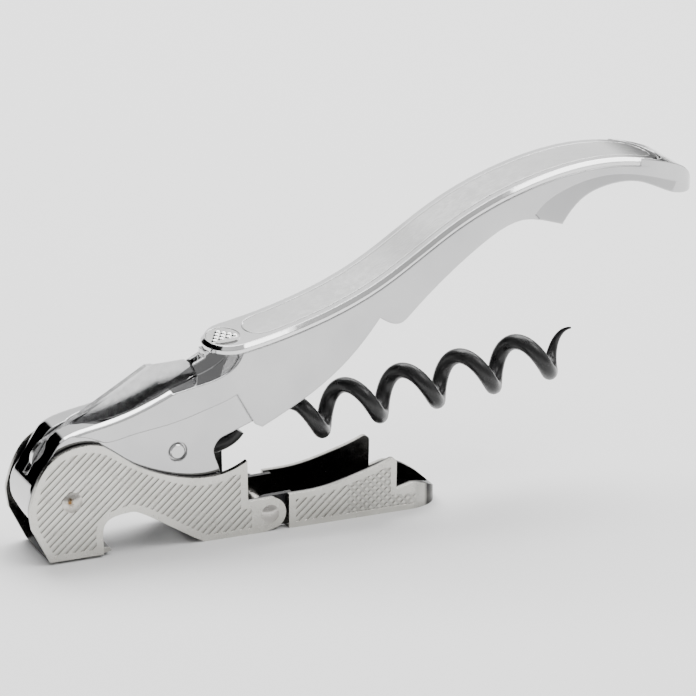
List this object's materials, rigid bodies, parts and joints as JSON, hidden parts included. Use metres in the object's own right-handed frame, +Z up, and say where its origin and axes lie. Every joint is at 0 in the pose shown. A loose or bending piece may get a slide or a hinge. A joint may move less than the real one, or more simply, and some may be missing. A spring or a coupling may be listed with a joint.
{
  "type": "lever corkscrew",
  "caption": "Folding waiter's corkscrew with a slim curved chrome handle, ridged two-step lever, crown-cap hook, coated worm and foil blade in the head.",
  "frame": {"origin": "middle of the underside of the object as it stands on the flat undersides of its levers", "axes": "+X from the head to the tail of the handle, +Y across the handle to its far side, +Z up"},
  "size_m": [0.121, 0.0138, 0.0572],
  "materials": {
    "cast_chrome": "polished chrome over a zinc casting",
    "trim_chrome": "polished chrome plate",
    "inlay_chrome": "satin-polished inlay",
    "badge_metal": "cast relief, lightly satin",
    "lever_nickel": "nickel-plated sheet with pressed ridges",
    "rivet_steel": "domed rivet with a little tarnish",
    "steel_pin": "turned steel",
    "washer_steel": "stamped steel",
    "spring_steel": "blued spring steel",
    "blade_steel": "ground stainless steel",
    "worm_coating": "black non-stick coating over steel wire, semi-matte",
    "adhesive": "thin double-sided film"
  },
  "bodies": {
    "handle": {"handle_body": "cast_chrome", "top_trim": "trim_chrome", "trim_studs": "steel_pin", "inlay_adhesive": "adhesive", "inlay_panel": "inlay_chrome", "badge_emblem": "badge_metal", "lever_rivet": "rivet_steel", "lever_washers": "washer_steel", "worm_pin": "steel_pin", "worm_spacer_near": "washer_steel", "worm_spacer_far": "washer_steel", "blade_pin": "steel_pin", "blade_washers": "washer_steel", "back_spring": "spring_steel", "spring_rivet": "steel_pin"},
    "first_lever": {"first_lever": "lever_nickel", "hinge_rivet": "rivet_steel"},
    "second_lever": {"second_lever": "lever_nickel"},
    "worm": {"worm": "worm_coating"},
    "blade": {"foil_blade": "blade_steel"}
  },
  "joints": [
    {"name": "lever_pivot", "type": "hinge", "parent": "handle", "child": "first_lever", "pos_m": [-0.0532, 0, 0.0104], "axis": [0, 1, 0], "range_deg": [-21, 90]},
    {"name": "lever_hinge", "type": "hinge", "parent": "first_lever", "child": "second_lever", "pos_m": [-0.0186, 0, 0.0031], "axis": [0, 1, 0], "range_deg": [0, 85]},
    {"name": "worm_swing", "type": "hinge", "parent": "handle", "child": "worm", "pos_m": [-0.0343, 0, 0.016], "axis": [0, 1, 0], "range_deg": [-19.5, 84]},
    {"name": "blade_pivot", "type": "hinge", "parent": "handle", "child": "blade", "pos_m": [-0.0544, 0, 0.0161], "axis": [0, -1, 0], "range_deg": [0, 125]}
  ],
  "couplings": [
    {"joint": "worm_swing", "follows": "lever_pivot", "ratio": 0.92}
  ]
}
